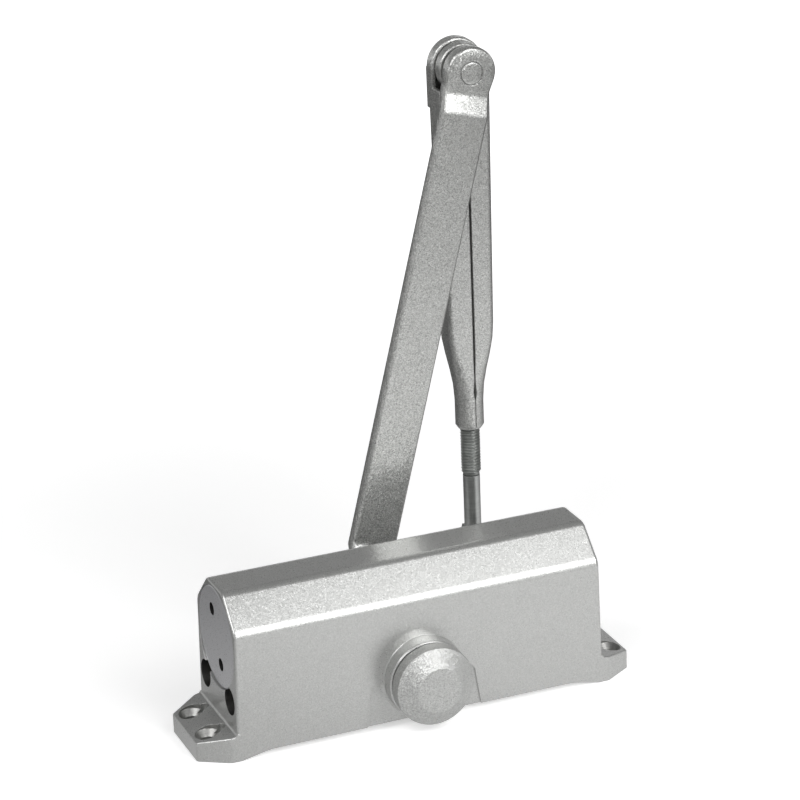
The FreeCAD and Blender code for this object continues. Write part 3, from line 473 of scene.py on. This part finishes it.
body_enamel = enamel("body_enamel", (0.436, 0.439, 0.43))
bare_bore = cut_metal("bare_bore", (0.62, 0.62, 0.61), (1, 0, 0), roughness=0.32)
# The threads in the regulating holes are painted dark grey, darker than the machined aluminium is: painted
# shade.
painted_shade_tapped_hole = cut_metal("painted_shade_tapped_hole", (0.16, 0.16, 0.155), (1, 0, 0), roughness=0.42,
                        pitch=0.0007, depth=1.0)
bright_seat = cut_metal("bright_seat", (0.36, 0.36, 0.35), (0, 0, 1), roughness=0.42,
                        pitch=0.00025, depth=0.8)
body_build = merged_copy("housing")
for surface in body_build.faces:
    facing, distance, middle = towards_axis(surface, (0, 0, cylinder_height), (1, 2))
    if facing > wall_facing and distance < cylinder_reach:
        surface.material_index = bore_index
    facing, distance, middle = towards_axis(surface, (0, 0, spindle_height), (0, 2))
    if facing > wall_facing and distance < cross_radius:
        surface.material_index = bore_index
    # Faces deep inside the two regulating holes take the painted shade.
    for side in (-1, 1):
        hole_axis = (0, side * regulating_axis[0], regulating_axis[1])
        facing, distance, middle = towards_axis(surface, hole_axis, (1, 2))
        in_hole = distance < regulating_radius and middle.x < regulating_bottom
        if in_hole and (facing > hole_facing or middle.x > regulating_mouth):
            surface.material_index = painted_shade_hole_index
    for x, y in mounting_holes:
        facing, distance, middle = towards_axis(surface, (x, y, 0), (0, 1))
        if distance < seat_radius and middle.z > seat_above and facing > seat_facing:
            surface.material_index = seat_index
crease(body_build)
body = finish_piece(body_build, "housing_finish", [body_enamel, bare_bore, painted_shade_tapped_hole, bright_seat])
stand_in(body, "housing", "housing")

# The end plugs are die-cast, screwed flush into the cylinder's ends and sprayed a smooth grey. Two holes
# take the pin spanner.
plug_enamel = enamel("plug_enamel", (0.455, 0.457, 0.47), metallic=0.5, contrast=0.03, tilt=0.04,
                     edge=0.0003)
# The spanner holes are painted near black inside, as painted shade.
painted_shade_spanner_hole = cut_metal("painted_shade_spanner_hole", (0.07, 0.07, 0.07), (1, 0, 0), roughness=0.5)
spanner_turn = math.radians(19)
spanner_pitch = 0.0106
spanner_radius = 0.00255
spanner_depth = 0.0735
for node in ("end_plug_left", "end_plug_right"):
    plug_build = merged_copy(node)
    for surface in plug_build.faces:
        for side in (-1, 1):
            centre = (0, side * spanner_pitch * math.sin(spanner_turn),
                      cylinder_height + side * spanner_pitch * math.cos(spanner_turn))
            facing, distance, middle = towards_axis(surface, centre, (1, 2))
            # Faces inside the spanner holes take the painted shade.
            if distance < spanner_radius and (facing > wall_facing or abs(middle.x) < spanner_depth):
                surface.material_index = 1
    crease(plug_build)
    plug = finish_piece(plug_build, node + "_finish", [plug_enamel, painted_shade_spanner_hole])
    stand_in(plug, node, "housing")

# The two regulating screws are turned brass with a screwdriver slot, at the bottom of the holes in the left
# end face. One sets the closing speed and the other the last swing into the latch.
turned_brass = cut_metal("turned_brass", (0.60, 0.46, 0.22), (1, 0, 0), roughness=0.28)


def dressed_copy(node, body, material, sharp=32.0):
    """A node with joined faces, smooth curves and crisp edges, in its own material."""
    build = merged_copy(node)
    crease(build, sharp)
    return stand_in(finish_piece(build, node + "_finish", [material]), node, body)


dressed_copy("closing_speed_valve", "closing_valve", turned_brass)
dressed_copy("latching_speed_valve", "latching_valve", turned_brass)

# The cover on the unused spindle end is a turned aluminium cap with a conical front, sprayed like the body
# and pressed into the cross bore.
cap_low, cap_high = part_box("spindle_cap")
cap_radius = (cap_high[0] - cap_low[0]) / 2
cap_front = cap_low[1]
cap_length = cap_high[1] - cap_front
cap_steps = 144
cap_sharp = 24.0
# Faces deeper than this, in the groove behind the cap's rim, are painted near black as painted shade.
shaded_gap_depth = 0.0090
cap_profile = [
    (0.0, 0.0), (0.00875, 0.0), (0.00905, 0.00012),
    (cap_radius - 0.00055, 0.0038), (cap_radius - 0.00015, 0.00412), (cap_radius, 0.0046),
    (cap_radius, 0.00895), (cap_radius - 0.00022, 0.0092), (0.01452, 0.0092), (0.0145, 0.01025),
    (0.01095, 0.01025), (0.01095, cap_length), (0.00995, cap_length), (0.00995, 0.0082),
    (0.0138, 0.0082), (0.0138, 0.0047), (0.0089, 0.0018), (0.0, 0.0018)]


def turned_build(profile, centre, front, steps):
    """A piece turned about a front-to-back axis, from a profile of radii and depths behind its front."""
    build = bmesh.new()
    outline = [build.verts.new((centre[0] + radius, front + depth, centre[2])) for radius, depth in profile]
    rim = [build.edges.new(pair) for pair in zip(outline, outline[1:])]
    bmesh.ops.spin(build, geom=outline + rim, cent=centre, axis=(0, 1, 0),
                   angle=2 * math.pi, steps=steps, use_merge=True)
    bmesh.ops.remove_doubles(build, verts=build.verts[:], dist=1e-6)
    bmesh.ops.recalc_face_normals(build, faces=build.faces[:])
    return build


cap_enamel = enamel("cap_enamel", (0.40, 0.403, 0.395), roughness=0.47, contrast=0.5, tilt=0.6,
                    flake=0.0003, edge=0.00025, coat=0.0)
# The groove between the cap's rim and the boss is painted near black: painted shade.
cap_gap_painted_shade = cut_metal("cap_gap_painted_shade", (0.05, 0.05, 0.05), (0, 1, 0), roughness=0.6)
cap_build = turned_build(cap_profile, (0, 0, spindle_height), cap_front, cap_steps)
for surface in cap_build.faces:
    depth = surface.calc_center_median().y - cap_front
    surface.material_index = 1 if depth > shaded_gap_depth else 0
crease(cap_build, cap_sharp)
cap = finish_piece(cap_build, "cap_finish", [cap_enamel, cap_gap_painted_shade])
stand_in(cap, "spindle_cap", "housing")

# The main arm is blanked from 6 mm steel bar, cranked near the spindle and joggled near the elbow, tumbled
# until its edges are round, and sprayed.
arm_silver = (0.46, 0.464, 0.452)
arm_flake = 0.0003
arm_enamel = enamel("arm_enamel", arm_silver, contrast=1.0, tilt=0.4, flake=arm_flake, edge=0.0009)
dressed_copy("main_arm", "arm", arm_enamel, sharp=50.0)

# The elbow holds both arms together: a steel rivet staked nearly flush in the main arm, a washer, and a
# turned spacer that sits in the forearm's dished ear. All were sprayed after riveting.
elbow_enamel = enamel("elbow_enamel", arm_silver, contrast=1.0, tilt=0.4, flake=arm_flake, edge=0.0005)
rivet_low, rivet_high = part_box("elbow_rivet")
rivet_centre = ((rivet_low[0] + rivet_high[0]) / 2, 0, (rivet_low[2] + rivet_high[2]) / 2)
rivet_steps = 72
rivet_sharp = 50.0
rivet_profile = [
    (0.0, -0.00012), (0.0026, -0.00006), (0.0038, 0.0), (0.0043, 0.00018), (0.0045, 0.0005),
    (0.0045, 0.0196), (0.0064, 0.0196), (0.0067, 0.0199), (0.0066, 0.0203), (0.0056, 0.0209),
    (0.0036, 0.02125), (0.0, 0.0214)]
rivet_build = turned_build(rivet_profile, rivet_centre, rivet_low[1], rivet_steps)
crease(rivet_build, rivet_sharp)
rivet = finish_piece(rivet_build, "rivet_finish", [elbow_enamel])
stand_in(rivet, "elbow_rivet", "arm")
dressed_copy("elbow_washer", "arm", elbow_enamel)
dressed_copy("elbow_spacer", "arm", elbow_enamel)

# The forearm is sheet steel folded into a tube whose seam stays open at the front, swaged down to a
# threaded collar and dished at the top into an ear for the rivet.
tube_enamel = enamel("tube_enamel", (0.49, 0.494, 0.482), contrast=0.9, tilt=0.4, flake=arm_flake,
                     edge=0.0007)
dressed_copy("forearm", "forearm", tube_enamel, sharp=40.0)

# The adjusting rod is zinc plated steel. An M8 thread is rolled on its upper part, which screws into the
# forearm's collar, and its foot is flattened and drilled for the shoe pin.
rod_low, rod_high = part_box("adjusting_rod")
spacer_low, spacer_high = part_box("elbow_spacer")
rod_x = (spacer_low[0] + spacer_high[0]) / 2
rod_y = (rod_low[1] + rod_high[1]) / 2
rod_top = rod_high[2]
rod_sharp = 40.0
thread_start = 0.0620
thread_overlap = 0.0004
thread_turns = 32
thread_pitch = 0.00125
thread_crest = 0.00395
thread_root = 0.00330
thread_inside = 0.0026
thread_run_out = 1.2
thread_slack = 1e-5
turn_steps = 28
root_round = 0.00005
crest_round = 0.00006
zinc = cut_metal("zinc_plate", (0.46, 0.47, 0.46), (0, 0, 1), roughness=0.36, pitch=0.0009, depth=0.12)
rolled_zinc = cut_metal("rolled_zinc", (0.30, 0.31, 0.30), (0, 0, 1), roughness=0.4,
                        pitch=0.0009, depth=0.12)
rod_build = merged_copy("adjusting_rod")
rod_parts = rod_build.verts[:] + rod_build.edges[:] + rod_build.faces[:]
bmesh.ops.bisect_plane(rod_build, geom=rod_parts, plane_co=(0, 0, thread_start - thread_overlap),
                       plane_no=(0, 0, 1), clear_outer=True)
cut_edges = [edge for edge in rod_build.edges if edge.is_boundary]
bmesh.ops.holes_fill(rod_build, edges=cut_edges, sides=0)
core_place = Matrix.Translation((rod_x, rod_y, (rod_top + thread_start) / 2))
bmesh.ops.create_cone(rod_build, cap_ends=True, segments=turn_steps, radius1=thread_root,
                      radius2=thread_root, depth=rod_top - thread_start, matrix=core_place)
ridge_profile = [
    (thread_inside, 0.0), (thread_root, 0.0), (thread_root + root_round, 0.00012),
    (thread_crest - crest_round, 0.00052), (thread_crest, 0.00060), (thread_crest, 0.00070),
    (thread_crest - crest_round, 0.00078), (thread_root + root_round, 0.00118),
    (thread_root, thread_pitch), (thread_inside, thread_pitch)]
ridge_verts = [rod_build.verts.new((rod_x + radius, rod_y, thread_start + rise))
               for radius, rise in ridge_profile]
ridge = rod_build.faces.new(ridge_verts)
bmesh.ops.spin(rod_build, geom=[ridge], cent=(rod_x, rod_y, 0), axis=(0, 0, 1),
               dvec=(0, 0, thread_pitch / turn_steps), angle=2 * math.pi * thread_turns,
               steps=turn_steps * thread_turns, use_duplicate=False)
run_out_end = thread_start + thread_pitch * thread_run_out
for vert in rod_build.verts:
    across = Vector((vert.co.x - rod_x, vert.co.y - rod_y))
    reach = across.length
    if thread_start - thread_slack < vert.co.z < run_out_end and reach > thread_root:
        risen = max(0.0, (vert.co.z - thread_start) / (run_out_end - thread_start))
        most = thread_root + (thread_crest - thread_root) * risen
        if reach > most:
            across *= most / reach
            vert.co.x = rod_x + across.x
            vert.co.y = rod_y + across.y
bmesh.ops.recalc_face_normals(rod_build, faces=rod_build.faces[:])
for surface in rod_build.faces:
    surface.material_index = 1 if surface.calc_center_median().z > thread_start else 0
crease(rod_build, rod_sharp)
rod = finish_piece(rod_build, "rod_finish", [zinc, rolled_zinc])
stand_in(rod, "adjusting_rod", "rod")

# A socket-head screw and a thick washer pull the main arm onto the spindle's square. Both are zinc plated.
plated = cut_metal("plated_steel", (0.44, 0.445, 0.43), (0, 1, 0), roughness=0.3, pitch=0.0006,
                   depth=0.2)
dressed_copy("arm_screw", "arm", plated)
dressed_copy("arm_washer", "arm", plated)

# The shoe is a folded steel bracket, sprayed like the arms and screwed to the door frame. The rod's eye
# turns on its pin, which two spring clips keep in place.
shoe_enamel = enamel("shoe_enamel", arm_silver, contrast=1.0, tilt=0.4, flake=arm_flake, edge=0.0005)
dressed_copy("shoe_bracket", "shoe", shoe_enamel, sharp=40.0)
dressed_copy("shoe_pin", "shoe", plated)
dressed_copy("shoe_pin_clip", "shoe", plated)

# The spindle is hardened steel with the pinion cut on it. It turns in two ground bearing rings, and spring
# rings keep these in the cross bore.
ground_steel = cut_metal("ground_steel", (0.50, 0.50, 0.49), (0, 1, 0), roughness=0.24, pitch=0.0003,
                         depth=0.15)


def coat_node(name, material):
    """A node that keeps its own shape takes a material."""
    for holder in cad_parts[name].material_slots:
        holder.material = material


for name in ("pinion_spindle", "spindle_bearing_front", "spindle_bearing_rear"):
    coat_node(name, ground_steel)
coat_node("retaining_rings", plated)

# The piston is ground steel with the rack milled on its underside. A steel ball on a brass seat lets oil pass
# when the door opens.
piston_steel = cut_metal("piston_steel", (0.52, 0.52, 0.51), (1, 0, 0), roughness=0.22,
                         pitch=0.0004, depth=0.15)
ball_steel = cut_metal("ball_steel", (0.58, 0.58, 0.58), (0, 0, 1), roughness=0.12, depth=0.02)
coat_node("piston", piston_steel)
coat_node("check_valve_ball", ball_steel)
coat_node("check_valve_seat", turned_brass)

# The closing spring is oil-hardened wire with closed ends, and stands against a pressed seat in the right
# plug. The piston pushes it together by its whole stroke.
spring_steel = cut_metal("spring_steel", (0.16, 0.155, 0.16), (0.3, 0.6, 0.74), roughness=0.34,
                         pitch=0.0012, depth=0.1)
spring = dressed_copy("closing_spring", "housing", spring_steel, sharp=60.0)
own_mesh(spring)
coat_node("spring_seat", piston_steel)

# The seals are O-rings and lip rings, moulded from black nitrile rubber with a matt, slightly dusty skin.
# They keep the oil in at the plugs, the spindle, the piston and the two regulating screws.
nitrile = bpy.data.materials.new("nitrile")
nitrile.use_nodes = True
nitrile_nodes = nitrile.node_tree.nodes
nitrile_links = nitrile.node_tree.links
nitrile_shader = nitrile_nodes["Principled BSDF"]
skin_place = nitrile_nodes.new("ShaderNodeTexCoord")
skin_noise = noise_at(nitrile_nodes, nitrile_links, skin_place, scale=900.0, detail=3.0)
skin_shade = graded(nitrile_nodes, nitrile_links, skin_noise, first=0.012, last=0.028)
skin_roughness = graded(nitrile_nodes, nitrile_links, skin_noise, first=0.5, last=0.75)
nitrile_links.new(skin_shade, nitrile_shader.inputs["Base Color"])
nitrile_links.new(skin_roughness, nitrile_shader.inputs["Roughness"])
for name in ("plug_seals", "spindle_seals", "piston_seal", "closing_valve_seal", "latching_valve_seal"):
    coat_node(name, nitrile)
